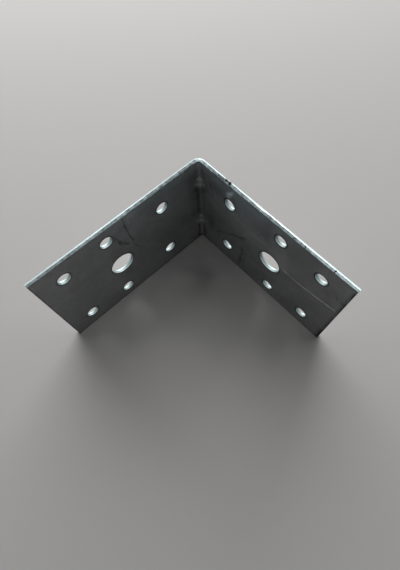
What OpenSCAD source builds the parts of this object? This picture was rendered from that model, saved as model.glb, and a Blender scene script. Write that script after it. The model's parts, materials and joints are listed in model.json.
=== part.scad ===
// Corner brace bracket for joining timber: one strip of galvanised steel sheet, punched flat with
// screw holes and bolt holes and then folded once to a right angle. It stands on its lower cut
// edge, and the fold runs straight up.
// Frame: the outer faces of the two legs lie on Y = 0 and X = 0 and the lower cut edge on Z = 0,
// so the origin is the sharp corner that the two outer faces would make at the heel.

/* [Sheet] */
// Thickness of the sheet
sheet_t = 2; // [1.5:0.1:3]
// Width of the strip, which is the height of the bracket as it stands
strip_w = 60; // [54:1:90]

/* [Legs] */
// Leg along X, from the heel to its sheared end
leg_a_len = 90; // [84:0.5:140]
// Leg along Y, from the heel to its sheared end
leg_b_len = 88.5; // [81:0.5:140]

/* [Fold] */
// Radius of the fold on its inner side
fold_r = 1.7; // [0.8:0.1:4]

/* [Screw holes] */
// Diameter of the screw holes
screw_d = 6; // [4:0.1:8]
// Leg along X: from the heel to the first row of screw holes
first_row_a = 25; // [18:0.5:30]
// Leg along Y: from the heel to the first row of screw holes
first_row_b = 22; // [18:0.5:28]
// From the first row to the middle row
row_pitch = 30; // [24:0.5:34]
// From the middle row to the row near the end of the leg
end_row_pitch = 22.5; // [15:0.5:25]
// Between the two holes of the first row
first_row_w = 35; // [20:0.5:44]
// Between the two holes of the middle row, set wide so that the rows miss each other's grain
middle_row_w = 44; // [32:0.5:46]
// Between the two holes of the row near the end of the leg
end_row_w = 39; // [20:0.5:44]

/* [Bolt holes] */
// Diameter of the bolt hole in each leg
bolt_d = 12; // [8:0.5:14]
// From the first row of screw holes to the bolt hole
bolt_from_row = 27.5; // [18:0.5:32]

/* [Cut edges] */
// Radius that a cut draws down on the outer face, along every edge and round every hole
roll_r = 0.25; // [0.1:0.05:0.5]
// Depth of the smooth part of a sheared edge, from the outer face
smooth_depth = 0.9; // [0.6:0.1:1.4]
// How far the torn part of a sheared edge falls back by the inner face
tear_back = 0.15; // [0.05:0.05:0.3]
// Length of the flare where a punched hole breaks out of the inner face
flare_len = 0.5; // [0.2:0.1:0.9]
// How much wider the flare is than the hole, on each side
flare_w = 0.15; // [0.05:0.05:0.3]

/* [Dents] */
// Knock across the upper edge of the leg along Y, from the heel
knock_at = 20.5; // [10:0.1:75]
// Depth of the knock
knock_depth = 0.45; // [0.15:0.05:0.6]
// Length of the scrape that leads from the heel's side into the knock
scrape_len = 2.3; // [1:0.1:6]
// Pit in the same edge near the end of the leg, from the heel
pit_at = 77.3; // [30:0.1:80]

/* [Hidden] */
$fn = 96;
steel = "#8f9599";
over = 1;                          // how far a cutting shape runs past what it cuts
fold_out_r = fold_r + sheet_t;     // outer radius of the fold, and where each flat leg begins
mid_z = strip_w / 2;               // every row of holes is centred on the strip
knock_r = 0.6;                     // round-nosed tool that made the knock
knock_reach = 1;                   // how far in from the outer face the knock is deepest
knock_tilt = 16;                   // it is shallower towards the outer face
knock_slant = 15;                  // and its outer end lies a little nearer the heel
scrape_r = 0.3;
scrape_depth = 0.18;
scrape_n = 0.85;                   // distance of the scrape from the outer face
gouge_r = 0.4;                     // where the scrape starts
gouge_depth = 0.3;
pit_r = 0.35;
pit_depth = 0.2;
pit_n = 1.35;                      // distance of the pit from the outer face

// The rows of screw holes on a leg: distance from the first row, and width between the holes.
ROWS = [
    [0, first_row_w],
    [row_pitch, middle_row_w],
    [row_pitch + end_row_pitch, end_row_w]
];

// Quarter-round corner with legs of r from the origin along +X and +Y, as it is cut away: the
// square stands out past both axes, and the circle that touches them stays.
module roll_corner(r) {
    difference() {
        translate([-over, -over]) square(r + over);
        translate([r, r]) circle(r);
    }
}

// What shearing takes off a straight edge. X is the depth from the outer face, and Y the distance
// from the cut into the sheet: the rolled corner, and the slope of the torn part.
module edge_waste() {
    torn = sheet_t - smooth_depth;
    past = torn + over;
    roll_corner(roll_r);
    polygon([
        [smooth_depth, 0],
        [smooth_depth, -over],
        [smooth_depth + past, -over],
        [smooth_depth + past, tear_back * past / torn]
    ]);
}

// Section across the strip: X is the depth from the outer face, Y runs up the height.
module strip_section() {
    difference() {
        square([sheet_t, strip_w]);
        edge_waste();
        translate([0, strip_w]) mirror([0, 1]) edge_waste();
    }
}

// Flat leg along +X on the outer face Y = 0, from the fold to its end.
module leg(len) {
    difference() {
        translate([fold_out_r, 0, 0])
            rotate([90, 0, 90])
                linear_extrude(len - fold_out_r) strip_section();
        translate([len, 0, -over])
            rotate(90)
                linear_extrude(strip_w + 2 * over) edge_waste();
    }
}

// Quarter turn of the strip about the inner side of the heel.
module fold() {
    translate([fold_out_r, fold_out_r, 0])
        rotate_extrude(angle = 90, start = 180)
            translate([fold_out_r, 0]) mirror([1, 0]) strip_section();
}

// Space of a punched hole, along +Y from the outer face: rolled entry, straight wall and flare.
module punch(d) {
    r = d / 2;
    flare = flare_w * (flare_len + over) / flare_len;
    rotate([-90, 0, 0])
        rotate_extrude() {
            translate([0, -over]) square([r, sheet_t + 2 * over]);
            translate([r, 0]) roll_corner(roll_r);
            polygon([
                [0, sheet_t - flare_len],
                [r, sheet_t - flare_len],
                [r + flare, sheet_t + over],
                [0, sheet_t + over]
            ]);
        }
}

// All the holes of the leg along +X, whose first row is at the distance first.
module hole_pattern(first) {
    for (row = ROWS, side = [-1, 1])
        translate([first + row[0], 0, mid_z + side * row[1] / 2]) punch(screw_d);
    translate([first + bolt_from_row, 0, mid_z]) punch(bolt_d);
}

// Swaps X and Y, which lays what is drawn on the leg along X onto the leg along Y.
module on_leg_b() {
    multmatrix([[0, 1, 0, 0], [1, 0, 0, 0], [0, 0, 1, 0], [0, 0, 0, 1]]) children();
}

// Groove that runs on from a ball of r at the origin, along +X to a round end.
module groove(len, r) {
    rotate([0, 90, 0]) cylinder(r = r, h = len);
    translate([len, 0, 0]) sphere(r);
}

// Ball of r that dips to a depth below the upper edge, at a distance from the heel and at n from
// the outer face. What is drawn as a child starts at the ball's centre.
module dip(at, n, r, depth) {
    translate([at, n, strip_w + r - depth]) {
        sphere(r);
        children();
    }
}

// Dents in the upper edge, drawn on the leg along X: a knock across the edge, a gouge whose
// scrape runs into the knock, and a pit near the end.
module dents() {
    dip(knock_at, knock_reach, knock_r, knock_depth)
        rotate([0, 0, -knock_slant]) rotate([-knock_tilt, 0, 0]) rotate([0, 0, -90])
            groove(knock_reach + over, knock_r);
    dip(knock_at - scrape_len, scrape_n, scrape_r, scrape_depth) groove(scrape_len, scrape_r);
    dip(knock_at - scrape_len, scrape_n, gouge_r, gouge_depth);
    dip(pit_at, pit_n, pit_r, pit_depth);
}

module bracket() {
    color(steel)
        difference() {
            union() {
                leg(leg_a_len);
                fold();
                on_leg_b() leg(leg_b_len);
            }
            hole_pattern(first_row_a);
            on_leg_b() hole_pattern(first_row_b);
            on_leg_b() dents();
        }
}

bracket();
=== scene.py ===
"""Finish, stage and camera for a corner brace bracket folded from galvanised sheet steel.

Everything is in metres, in the bracket's own frame: the heel is at the origin, leg a runs along
+X, leg b along +Y, and the fold stands along +Z. Inside the finish, lengths are millimetres.
"""

import json
import math

import bpy
import numpy as np
from bpy.props import FloatProperty, FloatVectorProperty, PointerProperty
from mathutils import Matrix, Vector


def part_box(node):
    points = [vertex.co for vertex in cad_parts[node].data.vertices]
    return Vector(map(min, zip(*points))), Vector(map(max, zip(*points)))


bl_info = {
    "name": "Corner brace bracket",
    "version": (1, 0, 0),
    "blender": (4, 5, 0),
    "location": "View3D > Sidebar > Bracket",
    "description": "Gives a folded steel corner brace its galvanised finish and a plain studio",
    "category": "Object",
}

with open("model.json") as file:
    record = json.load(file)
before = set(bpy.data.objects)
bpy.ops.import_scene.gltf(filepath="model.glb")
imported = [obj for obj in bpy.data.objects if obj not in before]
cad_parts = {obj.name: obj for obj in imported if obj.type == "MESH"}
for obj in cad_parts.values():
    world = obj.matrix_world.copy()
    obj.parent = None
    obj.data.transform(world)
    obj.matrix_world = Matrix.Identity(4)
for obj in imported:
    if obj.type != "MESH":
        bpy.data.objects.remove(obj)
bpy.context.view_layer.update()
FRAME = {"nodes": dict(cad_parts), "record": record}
NODE = "bracket"
MM = 0.001


# ------------------------------------------------------------------------ sizes, in millimetres

def mount(name):
    """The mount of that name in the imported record: its place in millimetres, and its sizes."""
    found = next(m for m in FRAME["record"]["mounts"] if m["name"] == name)
    return Vector(found["pos_m"]) / MM, found["dims"]


def hole_pattern():
    """The holes of leg a as (from the first row, from mid height, radius), upper half only.

    Both legs have the same pattern, mirrored about mid height, from their own first row.
    """
    first = mount("screws_a_first")[0].x
    rows = [mount(f"screws_a_{row}") for row in ("first", "middle", "end")]
    holes = [(at.x - first, dims["spacing_y_mm"] / 2, dims["hole_r_mm"]) for at, dims in rows]
    bolt, dims = mount("bolt_hole_a")
    return holes + [(bolt.x - first, 0.0, dims["r_mm"])]


LEG_A, LEG_B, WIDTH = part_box(NODE)[1] / MM
SHEET = mount("inner_face_a")[0].y       # thickness of the sheet
FIRST_A = mount("screws_a_first")[0].x   # first row of holes on leg a, from the heel
FIRST_B = mount("screws_b_first")[0].y   # the same on leg b
FOLD_IN = 1.7                            # inner radius of the fold
FOLD_OUT = FOLD_IN + SHEET               # outer radius of the fold
SMOOTH = 0.9                             # depth of the smooth part of a sheared edge
TEAR = 0.15                              # how far the torn part falls back by the inner face
KNOCK_AT = 20.5                          # knock in the upper edge of leg b, from the heel
BULGE_AT = 37.0                          # bulge of that edge's smooth band, from the heel

# Marks on the inner faces: leg, or both for one in the fold; from (along the leg, height) to
# (along, height); width; bow across the line; how much lighter (above 0) or darker the zinc is
# there; and how much of the mark is broken up.
# Some marks are painted light and shade, as the note over each group says.
MARKS = [
    # Rub under the knocked edge
    ("b", (21.0, 53.4), (21.9, 55.2), 2.60, 0.0, 0.70, 0.3),
    ("b", (21.9, 55.2), (23.4, 57.4), 1.20, 0.0, 0.45, 0.4),
    # Drag marks along leg b, and a broad painted reflection round the fainter one
    ("b", (57.6, 33.2), (86.0, 36.4), 0.95, -1.0, 0.85, 0.4),
    ("b", (21.5, 42.3), (54.0, 40.2), 0.80, -0.3, 0.40, 0.5),
    ("b", (14.0, 40.0), (56.0, 38.5), 14.0, 0.0, 0.24, 0.1),
    # Faint dark streaks down leg b, a little way from the fold
    ("b", (9.2, 58.4), (9.2, 51.0), 3.00, 0.0, -0.20, 0.2),
    ("b", (9.3, 50.4), (11.0, 43.3), 1.60, 0.0, -0.26, 0.2),
    # Dark scuffs on leg b, below mid height
    ("b", (33.4, 31.8), (23.6, 25.4), 1.50, 0.4, -0.42, 0.5),
    ("b", (24.4, 25.2), (14.6, 17.4), 1.30, -0.4, -0.42, 0.6),
    ("b", (14.6, 17.4), (15.6, 8.6), 1.10, 0.6, -0.26, 0.6),
    ("b", (32.3, 21.8), (31.5, 4.6), 2.00, 0.3, -0.46, 0.5),
    ("b", (35.2, 19.6), (34.0, 4.4), 1.40, 0.2, -0.16, 0.5),
    # Scuffs by the sheared end of leg b, and painted shade along that end and at its foot
    ("b", (83.6, 46.8), (84.7, 45.2), 1.30, 0.0, -0.24, 0.2),
    ("b", (86.4, 45.8), (87.3, 44.4), 1.10, 0.0, -0.24, 0.2),
    ("b", (88.0, 2.0), (87.8, 57.0), 1.90, 0.0, -0.40, 0.3),
    ("b", (88.0, 1.0), (87.6, 10.0), 4.00, 0.0, -0.40, 0.2),
    # Dark run down leg a from its rim, with a ragged branch
    ("a", (44.5, 58.6), (43.2, 40.6), 0.90, 0.7, -0.54, 0.4),
    ("a", (43.6, 40.2), (40.7, 31.6), 0.75, 0.6, -0.28, 0.6),
    ("a", (51.2, 50.2), (45.8, 41.0), 1.60, 0.7, -0.56, 0.8),
    ("a", (43.0, 55.2), (42.2, 53.2), 0.90, 0.1, 0.24, 0.3),
    # Painted shade on leg a beside the fold
    ("a", (5.8, 52.0), (5.2, 24.0), 7.00, 0.0, -0.20, 0.2),
    # Two pairs of painted reflections across the fold, and painted shade under each pair
    ("both", (2.4, 49.1), (2.9, 48.8), 2.20, 0.0, 0.45, 0.2),
    ("both", (2.4, 46.8), (5.0, 48.4), 2.20, 0.0, 0.13, 0.2),
    ("both", (2.4, 44.6), (5.0, 46.0), 1.80, 0.0, 0.42, 0.3),
    ("both", (2.4, 40.0), (4.8, 42.0), 2.60, 0.0, -0.21, 0.2),
    ("both", (2.4, 20.3), (2.8, 20.0), 2.00, 0.0, 0.45, 0.2),
    ("both", (2.4, 14.8), (5.5, 16.8), 1.80, 0.0, 0.42, 0.3),
    ("both", (2.4, 11.4), (4.8, 12.8), 2.20, 0.0, -0.22, 0.3),
    # Painted shade up the fold, between the pairs and under the lower one
    ("both", (2.4, 39.0), (2.5, 22.0), 1.80, 0.0, -0.14, 0.2),
    ("a", (3.6, 38.0), (3.9, 23.5), 1.60, 0.0, -0.19, 0.2),
    ("a", (3.9, 12.0), (4.0, 1.0), 1.20, 0.0, -0.45, 0.1),
    ("b", (4.1, 11.0), (4.1, 1.0), 1.30, 0.0, -0.42, 0.2),
]

# Dirt on the upper edge of leg b: from (along the leg, depth from the outer face) to (along,
# depth), width, and how dark it is.
EDGE_MARKS = [
    # Gouge, the scrape from it, and the knock that it runs into
    ((18.2, 0.75), (18.3, 0.95), 1.00, 1.0),
    ((18.2, 0.85), (20.5, 0.95), 0.50, 0.9),
    ((20.3, 0.10), (20.7, 1.30), 1.00, 1.0),
    # Pit near the end
    ((77.3, 0.90), (77.2, 1.60), 0.60, 0.9),
    # Stains on the torn band
    ((62.4, 1.10), (62.8, 1.90), 0.60, 0.8),
    ((57.3, 1.20), (56.4, 1.80), 0.70, 0.7),
    ((11.5, 1.75), (17.2, 1.65), 0.80, 0.5),
    ((44.2, 1.20), (43.8, 1.80), 0.60, 0.4),
]

# Patterns of the zinc coat, as weights on their difference from 0.5: how much each lightens the
# coat and how much it roughens it, and then how far each stands out, in millimetres.
LIGHTENS = {"cloud": 0.34, "crystal": 0.10, "drawn": 0.25, "fine": 0.30, "smear": 0.24}
ROUGHENS = {"cloud": 0.16, "crystal": 0.05, "drawn": 0.08}
RAISES = {"fine": 0.005, "drawn": 0.004, "crystal": 0.001}
HAIR_LIGHTENS = 0.18                     # hairline scratches
HAIR_DEPTH = 0.003
MARK_ROUGHENS = 0.20                     # marks, for each unit of their change of lightness
MARK_DEPTH = 0.004
STRAY = 1.6                              # how far noise pushes the marks about, side to side
STRAY_LEVELS = (3.0, 11.0)               # where its two directions lie in that noise
BEND_ROUGHENS = 0.14                     # inner side of the fold

# The lamps: name, heading about the bracket and angle above the floor in degrees, width and height
# in metres, the setting that holds the power, and the lamp's share of it.
LAMPS = (
    ("key", -124, 25, 1.30, 0.60, "key", 1.0),
    ("strip_left", -178, 54, 0.79, 0.46, "strips", 1.3),
    ("strip_middle", -132, 52, 0.70, 0.46, "strips", 0.75),
    ("strip_right", -84, 54, 0.79, 0.46, "strips", 0.95),
)
LAMP_TARGET = Vector((0.03, 0.03, 0.03))  # inside the angle
LAMP_DISTANCE = 0.95                     # from there to each lamp, in metres
FLOOR_RADIUS = 4.0
FLOOR_SIDES = 96
PLAIN_FROM, PLAIN_TO = 0.22, 0.50        # where the floor turns to its plain colour, from the heel
SENSOR = 36.0                            # width of the camera's sensor, in millimetres
CLIP_START = 0.005                       # nearest that the camera sees, in metres


# ------------------------------------------------------------------------ settings

class BracketFinish(bpy.types.PropertyGroup):
    """Colours and sheen of the sheet."""

    zinc: FloatVectorProperty(
        name="Zinc", description="Colour of the coated faces",
        subtype="COLOR", size=3, min=0, max=1, default=(0.30, 0.308, 0.316))
    # Colour of the pale bluish reflection painted on the inner faces under the upper rim.
    painted_reflection: FloatVectorProperty(
        name="Bloom", description="Colour of the thin pale bloom by the upper rim",
        subtype="COLOR", size=3, min=0, max=1, default=(0.41, 0.485, 0.515))
    smooth_cut: FloatVectorProperty(
        name="Smooth cut", description="Colour of the burnished part of a cut edge",
        subtype="COLOR", size=3, min=0, max=1, default=(0.52, 0.635, 0.635))
    torn_cut: FloatVectorProperty(
        name="Torn cut", description="Colour of the torn part of a cut edge",
        subtype="COLOR", size=3, min=0, max=1, default=(0.170, 0.208, 0.219))
    # This colour also darkens a cut by its inner face as a painted shadow.
    dirt_and_shade: FloatVectorProperty(
        name="Dirt", description="Colour of what has settled in dents and along the tear line",
        subtype="COLOR", size=3, min=0, max=1, default=(0.010, 0.014, 0.015))
    sheen: FloatProperty(
        name="Roughness", description="Roughness of the coated faces",
        subtype="FACTOR", min=0, max=1, default=0.42)


class BracketStage(bpy.types.PropertyGroup):
    """Floor, light and camera."""

    floor: FloatVectorProperty(
        name="Floor", description="Colour of the floor",
        subtype="COLOR", size=3, min=0, max=1, default=(0.62, 0.61, 0.60))
    fill: FloatProperty(
        name="Fill light", description="Strength of the light from all round",
        min=0, default=0.022)
    key: FloatProperty(
        name="Key light", description="Power of the large low lamp behind the heel",
        unit="POWER", min=0, default=10.0)
    strips: FloatProperty(
        name="Strip lights", description="Power of each of the three lamps above it",
        unit="POWER", min=0, default=1.10)
    azimuth: FloatProperty(
        name="Azimuth", description="Turn of the camera about the upright axis, from facing +Y",
        subtype="ANGLE", default=math.radians(139.84))
    elevation: FloatProperty(
        name="Elevation", description="How steeply the camera looks down",
        subtype="ANGLE", default=math.radians(67.01))
    roll: FloatProperty(
        name="Roll", description="Turn of the camera about its own line of sight",
        subtype="ANGLE", default=math.radians(-3.24))
    distance: FloatProperty(
        name="Distance", description="From the camera to the point that it aims at",
        unit="LENGTH", min=0, default=0.1697)
    aim: FloatVectorProperty(
        name="Aim", description="Point inside the angle that the camera aims at",
        subtype="XYZ", unit="LENGTH", size=3, default=(0.0338, 0.0398, 0.0300))
    lens: FloatProperty(
        name="Lens", description="Focal length of the camera, in millimetres",
        min=1, default=23.39)
    shift: FloatVectorProperty(
        name="Shift", description="How far the picture is shifted across and up",
        size=2, default=(-0.0104, 0.0112))


# ------------------------------------------------------------------------ shader maths

def operator_method(operation, reflected=False):
    """A method that adds a Math node for one of Python's operators."""
    def method(self, other=0.0):
        pair = (other, self) if reflected else (self, other)
        return self.tree.maths(operation, *pair)
    return method


class Value:
    """One output of a node, with Python's operators."""

    def __init__(self, tree, socket):
        self.tree = tree
        self.socket = socket

    __add__ = operator_method("ADD")
    __radd__ = operator_method("ADD", True)
    __sub__ = operator_method("SUBTRACT")
    __rsub__ = operator_method("SUBTRACT", True)
    __mul__ = operator_method("MULTIPLY")
    __rmul__ = operator_method("MULTIPLY", True)
    __truediv__ = operator_method("DIVIDE")
    __rtruediv__ = operator_method("DIVIDE", True)
    __abs__ = operator_method("ABSOLUTE")


class Tree:
    """The nodes of one material or world, which start out empty."""

    def __init__(self, node_tree):
        self.node_tree = node_tree
        self.node_tree.nodes.clear()

    def node(self, kind, settings=None, inputs=None):
        """Adds a node, makes its settings, then fills or links its sockets by name or place."""
        made = self.node_tree.nodes.new(kind)
        count = len(self.node_tree.nodes)
        made.location = (220 * (count // 10), -190 * (count % 10))
        for name, value in (settings or {}).items():
            setattr(made, name, value)
        for key, value in (inputs or {}).items():
            socket = made.inputs[key]
            if isinstance(value, Value):
                self.node_tree.links.new(value.socket, socket)
            else:
                socket.default_value = value
        return made

    def value(self, made, key=0):
        """One output of a node, by name or place."""
        return Value(self, made.outputs[key])

    def maths(self, operation, *values):
        """A Math node on values and numbers."""
        made = self.node("ShaderNodeMath", {"operation": operation}, dict(enumerate(values)))
        return self.value(made)

    def least(self, first, *rest):
        """The least of some values, taken two at a time."""
        for other in rest:
            first = self.maths("MINIMUM", first, other)
        return first

    def most(self, first, *rest):
        """The greatest of some values, taken two at a time."""
        for other in rest:
            first = self.maths("MAXIMUM", first, other)
        return first

    def hypot(self, first, second):
        """Root of the sum of two squares."""
        return self.maths("SQRT", first * first + second * second)

    def rise(self, value, low, high):
        """0 up to low, 1 from high on, smooth between."""
        made = self.node(
            "ShaderNodeMapRange", {"interpolation_type": "SMOOTHSTEP"},
            {0: value, 1: low, 2: high})
        return self.value(made)

    def fall(self, value, low, high):
        """1 up to low, 0 from high on, smooth between."""
        return 1.0 - self.rise(value, low, high)

    def near(self, value, core, fade):
        """1 while the value is within core of 0, and 0 from fade on."""
        return self.fall(abs(value), core, fade)

    def point(self, x, y, z):
        """Three values as a vector."""
        return self.value(self.node("ShaderNodeCombineXYZ", None, {0: x, 1: y, 2: z}))

    def noise(self, point, scale, detail=3.0, roughness=0.5):
        """Noise about 0.5, with scale features to the millimetre on a point in millimetres."""
        made = self.node(
            "ShaderNodeTexNoise", None,
            {"Vector": point, "Scale": scale, "Detail": detail, "Roughness": roughness})
        return self.value(made)

    def cells(self, point, scale):
        """A random value from 0 to 1 for each crystal of the zinc, as a Voronoi cell."""
        made = self.node(
            "ShaderNodeTexVoronoi", {"feature": "F1"}, {"Vector": point, "Scale": scale})
        split = self.node("ShaderNodeSeparateColor", None, {0: self.value(made, "Color")})
        return self.value(split)

    def blend(self, factor, first, second, mode="MIX"):
        """Mixes two colours. A colour is a triple or a Value."""
        made = self.node("ShaderNodeMix", {"data_type": "RGBA", "blend_type": mode})
        pairs = (("Factor_Float", factor), ("A_Color", first), ("B_Color", second))
        for name, value in pairs:
            socket = next(s for s in made.inputs if s.identifier == name)
            if isinstance(value, Value):
                self.node_tree.links.new(value.socket, socket)
            else:
                socket.default_value = value if name == "Factor_Float" else (*value, 1.0)
        return Value(self, next(s for s in made.outputs if s.identifier == "Result_Color"))

    def grey(self, value):
        """A number as a grey colour, to multiply a colour by."""
        made = self.node("ShaderNodeCombineColor", None, {0: value, 1: value, 2: value})
        return self.value(made)

    def shade(self, factor, colour):
        """A colour made lighter or darker by a factor."""
        return self.blend(1.0, colour, self.grey(factor), "MULTIPLY")


# ------------------------------------------------------------------------ the galvanised finish

class Place:
    """Where a point of the surface lies on the strip, in millimetres, and masks from it.

    here is the point itself. depth is how far it lies under the outer face: the fold's outer
    radius less the distance from the fold's axis, where only what falls short of the axis on X
    and on Y counts, so the same formula holds on both legs. along runs through both legs as if
    the strip were flat, out is the distance from the heel along either leg, and cut is the
    distance from the nearest sheared edge.

    on_a and on_b are 1 on their own leg. inner is 1 on the inner faces, bend is 1 in the fold on
    its inner side, corner is 1 in the middle of the fold at every depth, near_heel is 1 by the
    heel, and far is 1 well out along a leg.
    """

    def __init__(self, tree):
        coordinates = tree.node("ShaderNodeTexCoord")
        scaled = tree.node(
            "ShaderNodeVectorMath", {"operation": "SCALE"},
            {0: tree.value(coordinates, "Object"), "Scale": 1.0 / MM})
        self.here = tree.value(scaled)
        split = tree.node("ShaderNodeSeparateXYZ", None, {0: self.here})
        x, y, z = (tree.value(split, axis) for axis in "XYZ")
        short_x = tree.most(FOLD_OUT - x, 0.0)
        short_y = tree.most(FOLD_OUT - y, 0.0)
        self.depth = FOLD_OUT - tree.hypot(short_x, short_y)
        self.along = x - y
        self.out = tree.most(x, y)
        self.height = z
        self.cut = tree.least(z, WIDTH - z, LEG_A - x, LEG_B - y)
        self.on_a = tree.rise(self.along, -0.1, 0.1)
        self.on_b = 1.0 - self.on_a
        self.inner = tree.rise(self.depth, SHEET - 0.05, SHEET - 0.01)
        self.bend = self.inner * tree.fall(self.out, FOLD_OUT - 1.4, FOLD_OUT + 9.0)
        self.corner = tree.near(self.along, 1.0, 3.4)
        self.near_heel = tree.fall(self.out, 12.0, 45.0)
        self.far = tree.rise(self.out, 15.0, 70.0)


def rim_distance(tree, place):
    """Distance from the nearest hole's wall: the least of the distances from the holes' centres,
    each less its radius, with the pattern folded about mid height."""
    first = FIRST_B + place.on_a * (FIRST_A - FIRST_B)
    along = place.out - first
    up = abs(place.height - WIDTH / 2)
    rims = [tree.hypot(along - at, up - rise) - radius for at, rise, radius in hole_pattern()]
    return tree.least(*rims)


def line_cover(tree, s, t, start, end, width, bow=0.0):
    """1 on a line between two points of the plane of s and t, and 0 away from it.

    It goes by the distance from the straight line, which is pushed across by a parabola that is
    0 at its ends. It is 1 up to a fifth of the width from the line, and 0 from four fifths on.
    """
    (s0, t0), (s1, t1) = start, end
    ds, dt = s1 - s0, t1 - t0
    length = math.hypot(ds, dt)
    across, up = s - s0, t - t0
    share = tree.least(tree.most((across * ds + up * dt) / length ** 2, 0.0), 1.0)
    push = share * (1.0 - share) * (4.0 * bow / length)
    distance = tree.hypot(across - share * ds + push * dt, up - share * dt - push * ds)
    return tree.near(distance, 0.2 * width, 0.8 * width)


def marks_change(tree, place, gaps):
    """Change of lightness by all the marks together, each 0 away from its own line.

    Two noises push each point about a little, so that no line is straight, and the gaps take out
    the broken share of each mark.
    """
    stray = [
        (tree.noise(tree.point(place.out, place.height, level), 0.22, detail=2.0) - 0.5) * STRAY
        for level in STRAY_LEVELS]
    out, height = place.out + stray[0], place.height + stray[1]
    faces = {"a": place.inner * place.on_a, "b": place.inner * place.on_b, "both": place.inner}
    changes = [
        line_cover(tree, out, height, start, end, width, bow) * faces[leg]
        * (change - gaps * (change * broken))
        for leg, start, end, width, bow, change, broken in MARKS]
    return sum(changes[1:], changes[0])


def coat_patterns(tree, place):
    """The patterns of the zinc coat by name, each about 0.5: clouds, crystals, streaks drawn out
    along the strip by rolling, fine grain, and smears."""
    streak = tree.point(place.along * 0.05, place.depth, place.height)
    return {
        "cloud": tree.noise(place.here, 0.06, detail=4.0, roughness=0.55),
        "crystal": tree.cells(place.here, 0.22),
        "drawn": tree.noise(streak, 1.6, detail=2.0, roughness=0.6),
        "fine": tree.noise(place.here, 2.2, roughness=0.6),
        "smear": tree.noise(place.here, 0.28, roughness=0.6),
    }


def weighted(patterns, weights, middle=0.5):
    """Sum of the patterns that have a weight, each less its middle and times its weight."""
    terms = [(patterns[name] - middle) * weight for name, weight in weights.items()]
    return sum(terms[1:], terms[0])


def hair_scratches(tree, place, smear):
    """1 on hairline scratches along the strip, which show where the smears are strong.

    A hairline is where a noise that is drawn out along the strip passes through 0.5.
    """
    streak = tree.point(place.along * 0.035, place.depth, place.height)
    level = tree.noise(streak, 0.55, detail=4.0, roughness=0.6)
    return tree.near(level - 0.5, 0.002, 0.010) * tree.rise(smear, 0.46, 0.66)


def painted_border_shade(tree, place, gaps, patterns):
    """How much painted shade darkens the coat round the holes, along the cuts and in the fold.

    The painted rings of shade round the holes are darkest on the inner face of leg b. The painted
    shadow along the cuts is on the inner faces, broken up by the gaps and darkest near the heel.
    The fold's inner side gets painted shade too.
    """
    # Painted shade in rings round the holes.
    ring = tree.near(rim_distance(tree, place) - patterns["fine"] * 0.3, 0.25, 0.90)
    ring = ring * (0.25 + place.inner * (0.60 - place.on_a * 0.22))
    # Painted shadow of the burr along the cuts' inner edges.
    burr_shadow = tree.near(place.cut - 0.2, 0.20, 0.65) * place.inner * (1.0 - gaps * 0.6)
    burr_shadow = burr_shadow * (0.60 + place.near_heel * 0.21)
    # Painted shade on the inner side of the fold.
    return ring + burr_shadow + place.bend * (0.20 + patterns["smear"] * 0.24)


def painted_rim_reflection(tree, place, smear):
    """How much of the inner faces' colour is the painted reflection under the upper rim.

    A broad one under the rim, from beside the fold to mid leg and thinner on leg a, and a narrow
    one right at the rim.
    """
    broad = tree.rise(place.height, 40.0, 57.0)
    broad = broad * tree.rise(place.out, 6.0, 15.0) * tree.fall(place.out, 34.0, 66.0)
    broad = broad * (1.0 - place.on_a * 0.45) * (0.35 + smear * 0.7)
    narrow = tree.rise(place.height, 54.0, 59.5) * tree.fall(place.out, 25.0, 75.0)
    return (broad + narrow * 0.5) * place.inner


def zinc_coat(tree, place, finish):
    """Colour, roughness and relief of the coated faces. Besides the coat's own patterns and marks,
    the colour holds painted shade and painted reflections.
    """
    patterns = coat_patterns(tree, place)
    smear = patterns["smear"]
    hair = hair_scratches(tree, place, smear)
    gaps = tree.rise(tree.noise(place.here, 0.38, detail=2.0), 0.42, 0.62)
    change = marks_change(tree, place, gaps)

    light = 1.0 + weighted(patterns, LIGHTENS) + hair * HAIR_LIGHTENS
    light = light + change - painted_border_shade(tree, place, gaps, patterns)
    # Painted reflection: the zinc is mixed towards a pale reflection under the upper rim.
    zinc = tree.blend(painted_rim_reflection(tree, place, smear), finish.zinc, finish.painted_reflection)
    rough = finish.sheen + weighted(patterns, ROUGHENS)
    rough = rough + abs(change) * MARK_ROUGHENS + place.bend * BEND_ROUGHENS
    relief = weighted(patterns, RAISES, 0.0) - hair * HAIR_DEPTH - abs(change) * MARK_DEPTH
    return tree.shade(light, zinc), rough, relief


def tear_line(tree, place, waver, ragged):
    """Depth of the tear line, where the smooth band ends and the torn one starts.

    It is less deep along leg a and deeper far out, and it bulges in the fold and at one place on
    leg b. Two noises, a long one and a short one, make it waver.
    """
    line = SMOOTH - 0.34 - place.on_a * 0.14 + place.far * (0.30 + place.on_a * 0.08)
    bulge = tree.near(place.along + BULGE_AT, 1.0, 4.5) * 0.36 + place.corner * 0.30
    return line + (waver - 0.5) * 0.36 + (ragged - 0.5) * 0.24 + bulge


def smooth_band(tree, place, lines, finish):
    """Colour of the smooth band: faint lines cross it, and it is darker beside the knock. It is
    darker along leg a and near the heel and lighter far out, partly the cut's own tone and partly
    painted shade and light."""
    knock = tree.near(place.along + KNOCK_AT - 1.8, 0.6, 3.4)
    # Painted shade along leg a and near the heel, painted light far out.
    painted_shade = place.on_a * (0.26 + place.far * 0.10) + place.near_heel * 0.14 - place.far * 0.08
    return tree.shade(1.0 + (lines - 0.5) * 0.38 - painted_shade - knock * 0.45, finish.smooth_cut)


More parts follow.
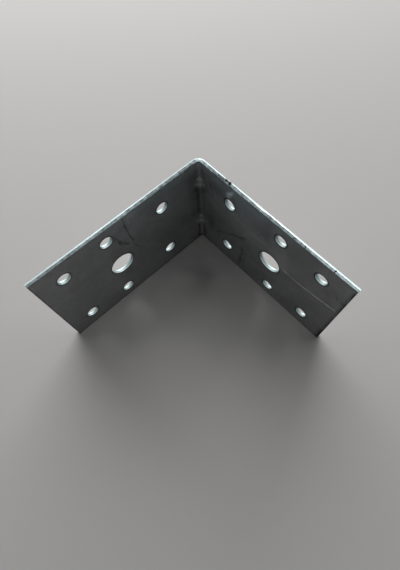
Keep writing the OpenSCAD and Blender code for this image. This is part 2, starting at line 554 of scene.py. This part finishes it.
def torn_band(tree, place, grain, finish):
    """Colour of the torn band, mottled with grain and blotches.

    Along its length it is lighter in the fold, beside it on leg b and towards leg b's end, and
    darker near the heel, most of all by the inner face: partly the cut's own tone and partly
    painted light and shade.
    """
    blotch = tree.noise(place.here, 0.55, roughness=0.6)
    beside_fold = place.on_b * tree.fall(place.out, 8.0, 13.0)
    end_b = tree.rise(place.along, -50.0, -80.0)
    by_inner = tree.rise(place.depth, SHEET - 0.60, SHEET - 0.10)
    mottle = 1.0 + (grain - 0.5) * 1.6 + (blotch - 0.5) * 3.0
    # Painted light in the fold, beside it on leg b and towards leg b's end; painted shade near the
    # heel below.
    mottle = mottle + place.corner * 0.90 + beside_fold * 0.14 + end_b * 0.85
    mottle = mottle - place.near_heel * (0.28 + by_inner * (0.30 + place.on_a * 0.50))
    return tree.shade(mottle, finish.torn_cut)


def edge_dirt(tree, place):
    """1 where a cut edge is dirty: in its dents, and at the stains of leg b's upper edge.

    A dent is where the surface lies under the cut's own plane, which falls back by the tear.
    """
    plane = tree.most(place.depth - SMOOTH, 0.0) * (TEAR / (SHEET - SMOOTH))
    dent = tree.rise(place.cut - plane, 0.03, 0.12)
    stains = [
        line_cover(tree, place.out, place.depth, start, end, width) * dark
        for start, end, width, dark in EDGE_MARKS]
    upper = place.on_b * tree.rise(place.height, WIDTH - 1.0, WIDTH - 0.8)
    return tree.most(dent, tree.most(*stains) * upper)


def sheared_edge(tree, place, finish):
    """Colour, roughness and relief of a straight cut, from the outer face inwards.

    A bright smooth band, a dark wavering tear line that comes and goes, and a duller mottled torn
    band that darkens by the inner face as a painted shadow. Dirt lies over all of them.
    """
    run = tree.point(place.along, place.cut, place.height * 0.3)
    waver = tree.noise(run, 0.30, detail=2.0)
    ragged = tree.noise(place.here, 1.1, detail=2.0)
    grain = tree.noise(place.here, 4.5, roughness=0.65)
    across = tree.point(place.along, place.depth * 0.15, place.height)
    lines = tree.noise(across, 3.2, detail=2.0)

    past = place.depth - tear_line(tree, place, waver, ragged)
    torn = tree.rise(past, -0.10, 0.14)
    colour = tree.blend(
        torn, smooth_band(tree, place, lines, finish), torn_band(tree, place, grain, finish))
    tear = tree.near(past - 0.12, 0.08, 0.30) * tree.rise(ragged, 0.42, 0.62)
    # Painted shadow of the burr: the torn band darkens by the inner face where the two noises are
    # high.
    lip_shadow = tree.rise(place.depth, SHEET - 0.40, SHEET - 0.16)
    lip_shadow = lip_shadow * tree.rise(waver + ragged, 0.76, 1.00)
    colour = tree.blend(tree.most(tear * 0.8, lip_shadow * 0.7), colour, finish.dirt_and_shade)
    dirty = edge_dirt(tree, place)
    colour = tree.blend(dirty * 0.95, colour, finish.dirt_and_shade)
    rough = 0.30 + torn * 0.22 + dirty * 0.3
    relief = torn * grain * 0.02 + (lines - 0.5) * (1.0 - torn) * 0.002
    return colour, rough, relief


def hole_wall(tree, place, finish):
    """Colour, roughness and relief inside a hole, from the outer face inwards.

    A bright band, a grey one where the punch dragged, and the pale flare of the breakout. Walls
    that face sideways or down are darker as painted shade, and most of all past the first half
    millimetre.
    """
    waver = (tree.noise(place.here, 0.5, roughness=0.6) - 0.5) * 0.3
    grain = tree.noise(place.here, 3.5, roughness=0.6)
    depth = place.depth + waver
    dragged = tree.rise(depth, 0.75, 0.95) * tree.fall(depth, 1.35, 1.55)
    geometry = tree.node("ShaderNodeNewGeometry")
    facing = tree.node("ShaderNodeSeparateXYZ", None, {0: tree.value(geometry, "Normal")})
    # Painted shade on the walls that face sideways or down.
    aside = tree.fall(tree.value(facing, "Z"), 0.10, 0.85)
    painted_shade = aside * (0.20 + tree.rise(depth, 0.45, 0.80) * 0.40)
    bright = tree.shade(0.95 + (grain - 0.5) * 0.6 - painted_shade, finish.smooth_cut)
    colour = tree.blend(dragged * 0.65, bright, finish.torn_cut)
    return colour, 0.52 + dragged * 0.1, grain * 0.006


def galvanised_steel(finish):
    """The one material of the folded sheet: zinc on its faces, bare steel on its cuts.

    The rolled corner of a cut is still coated, and bare steel starts under it. Bare steel that is
    well away from every straight cut is a hole's wall.
    """
    material = bpy.data.materials.new("galvanised_steel")
    material.use_nodes = True
    tree = Tree(material.node_tree)
    place = Place(tree)
    bare = tree.rise(place.depth, 0.08, 0.20) * tree.fall(place.depth, SHEET - 0.12, SHEET - 0.04)
    in_hole = tree.rise(place.cut, 0.7, 0.8)

    looks = [look(tree, place, finish) for look in (zinc_coat, sheared_edge, hole_wall)]
    (face, edge, wall), *numbers = zip(*looks)
    colour = tree.blend(bare, face, tree.blend(in_hole, edge, wall))
    rough, relief = (
        face + bare * (edge + in_hole * (wall - edge) - face) for face, edge, wall in numbers)
    bump = tree.node(
        "ShaderNodeBump", None, {"Height": relief, "Distance": MM, "Strength": 1.0})
    shader = tree.node("ShaderNodeBsdfPrincipled", None, {
        "Base Color": colour, "Roughness": rough, "Metallic": 0.9 + bare * 0.1,
        "Normal": tree.value(bump)})
    tree.node("ShaderNodeOutputMaterial", None, {"Surface": tree.value(shader)})
    return material


# ------------------------------------------------------------------------ stage

def new_mesh(name, points, faces, material):
    """An object in the scene from points, faces and a material."""
    mesh = bpy.data.meshes.new(name)
    mesh.from_pydata(points, [], faces)
    mesh.materials.append(material)
    made = bpy.data.objects.new(name, mesh)
    bpy.context.scene.collection.objects.link(made)
    return made


def seen_directly(tree):
    """1 for what the camera sees, itself or in a reflection or through glass, and 0 for light."""
    path = tree.node("ShaderNodeLightPath")
    return tree.most(*(tree.value(path, f"Is {kind} Ray")
                       for kind in ("Camera", "Glossy", "Transmission")))


def plain_floor(colour):
    """A flat round floor under the bracket: points on a circle, one face.

    Away from the bracket, the camera and reflections see its plain colour, without lamplight.
    """
    material = bpy.data.materials.new("floor_paint")
    material.use_nodes = True
    tree = Tree(material.node_tree)
    shader = tree.node("ShaderNodeBsdfPrincipled", None, {
        "Base Color": (*colour, 1.0), "Roughness": 0.9, "Specular IOR Level": 0.2})
    plain = tree.node("ShaderNodeEmission", None, {"Color": (*colour, 1.0), "Strength": 1.0})
    coordinates = tree.node("ShaderNodeTexCoord")
    split = tree.node(
        "ShaderNodeSeparateXYZ", None, {0: tree.value(coordinates, "Object")})
    away = tree.hypot(tree.value(split, "X"), tree.value(split, "Y"))
    mixed = tree.node("ShaderNodeMixShader", None, {
        0: seen_directly(tree) * tree.rise(away, PLAIN_FROM, PLAIN_TO),
        1: tree.value(shader), 2: tree.value(plain)})
    tree.node("ShaderNodeOutputMaterial", None, {"Surface": tree.value(mixed)})
    turn = np.linspace(0, 2 * math.pi, FLOOR_SIDES, endpoint=False)
    ring = FLOOR_RADIUS * np.column_stack((np.cos(turn), np.sin(turn), np.zeros_like(turn)))
    floor = new_mesh("floor", ring.tolist(), [list(range(FLOOR_SIDES))], material)


def studio_world(fill, background):
    """Even light from all round. The camera and reflections see the pale backdrop instead."""
    world = bpy.data.worlds.new("studio")
    world.use_nodes = True
    tree = Tree(world.node_tree)
    white = (1.0, 1.0, 1.0, 1.0)
    light = tree.node("ShaderNodeBackground", None, {"Color": white, "Strength": fill})
    backdrop = tree.node(
        "ShaderNodeBackground", None, {"Color": (*background, 1.0), "Strength": 1.0})
    mixed = tree.node("ShaderNodeMixShader", None, {
        0: seen_directly(tree), 1: tree.value(light), 2: tree.value(backdrop)})
    tree.node("ShaderNodeOutputWorld", None, {"Surface": tree.value(mixed)})
    bpy.context.scene.world = world


def aimed(place, target, roll=0.0):
    """Matrix that stands at place and looks at target with -Z, its Y as far up as it can be."""
    turn = (target - place).to_track_quat("-Z", "Y").to_matrix().to_4x4()
    return Matrix.Translation(place) @ turn @ Matrix.Rotation(roll, 4, "Z")


def heading_vector(heading, rise):
    """Unit vector at an angle about +Z from +X, and an angle above the floor, in degrees."""
    heading, rise = math.radians(heading), math.radians(rise)
    level = math.cos(rise)
    return Vector((level * math.cos(heading), level * math.sin(heading), math.sin(rise)))


def soft_lamp(name, place, width, height, power):
    """A rectangular lamp at a place, facing into the angle."""
    data = bpy.data.lights.new(name, "AREA")
    data.shape = "RECTANGLE"
    data.size = width
    data.size_y = height
    data.energy = power
    lamp = bpy.data.objects.new(name, data)
    lamp.matrix_world = aimed(place, LAMP_TARGET)
    bpy.context.scene.collection.objects.link(lamp)


def studio_light(stage):
    """A large low lamp behind the heel, and a higher arc of three lamps for the upper edges."""
    for name, heading, rise, width, height, setting, share in LAMPS:
        place = LAMP_TARGET + heading_vector(heading, rise) * LAMP_DISTANCE
        soft_lamp(name, place, width, height, getattr(stage, setting) * share)


def place_camera(stage):
    """The camera, on a sphere about its aim."""
    data = bpy.data.cameras.new("camera")
    data.sensor_width = SENSOR
    data.lens = stage.lens
    data.shift_x, data.shift_y = stage.shift
    data.clip_start = CLIP_START
    level = math.cos(stage.elevation)
    back = Vector((level * math.sin(stage.azimuth), -level * math.cos(stage.azimuth),
                   math.sin(stage.elevation)))
    aim = Vector(stage.aim)
    camera = bpy.data.objects.new("camera", data)
    camera.matrix_world = aimed(aim + back * stage.distance, aim, stage.roll)
    bpy.context.scene.collection.objects.link(camera)
    bpy.context.scene.camera = camera


# ------------------------------------------------------------------------ operators and panel

class BRACKET_OT_finish_sheet(bpy.types.Operator):
    """Gives the folded sheet its zinc coat, its bare cut edges and its marks"""

    bl_idname = "bracket.finish_sheet"
    bl_label = "Finish the sheet"

    def execute(self, context):
        sheet = FRAME["nodes"][NODE]
        sheet.data.materials.clear()
        sheet.data.materials.append(galvanised_steel(context.scene.bracket_finish))
        return {"FINISHED"}


class BRACKET_OT_build_stage(bpy.types.Operator):
    """Lays the floor, lights the bracket and places the camera"""

    bl_idname = "bracket.build_stage"
    bl_label = "Build the stage"

    def execute(self, context):
        stage = context.scene.bracket_stage
        plain_floor(stage.floor)
        studio_world(stage.fill, stage.floor)
        studio_light(stage)
        place_camera(stage)
        context.scene.view_settings.view_transform = "Standard"
        return {"FINISHED"}


class BRACKET_PT_panel(bpy.types.Panel):
    """Steps and settings of the bracket"""

    bl_idname = "BRACKET_PT_panel"
    bl_label = "Corner brace bracket"
    bl_space_type = "VIEW_3D"
    bl_region_type = "UI"
    bl_category = "Bracket"

    def draw(self, context):
        for operator, name in (("bracket.finish_sheet", "bracket_finish"),
                               ("bracket.build_stage", "bracket_stage")):
            box = self.layout.box()
            box.operator(operator)
            settings = getattr(context.scene, name)
            for key in settings.__annotations__:
                box.prop(settings, key)


CLASSES = (
    BracketFinish,
    BracketStage,
    BRACKET_OT_finish_sheet,
    BRACKET_OT_build_stage,
    BRACKET_PT_panel,
)


def register():
    for cls in CLASSES:
        bpy.utils.register_class(cls)
    bpy.types.Scene.bracket_finish = PointerProperty(type=BracketFinish)
    bpy.types.Scene.bracket_stage = PointerProperty(type=BracketStage)


def unregister():
    del bpy.types.Scene.bracket_stage
    del bpy.types.Scene.bracket_finish
    for cls in reversed(CLASSES):
        bpy.utils.unregister_class(cls)


def main():
    register()
    bpy.ops.bracket.finish_sheet()
    bpy.ops.bracket.build_stage()


if __name__ == "__main__":
    main()
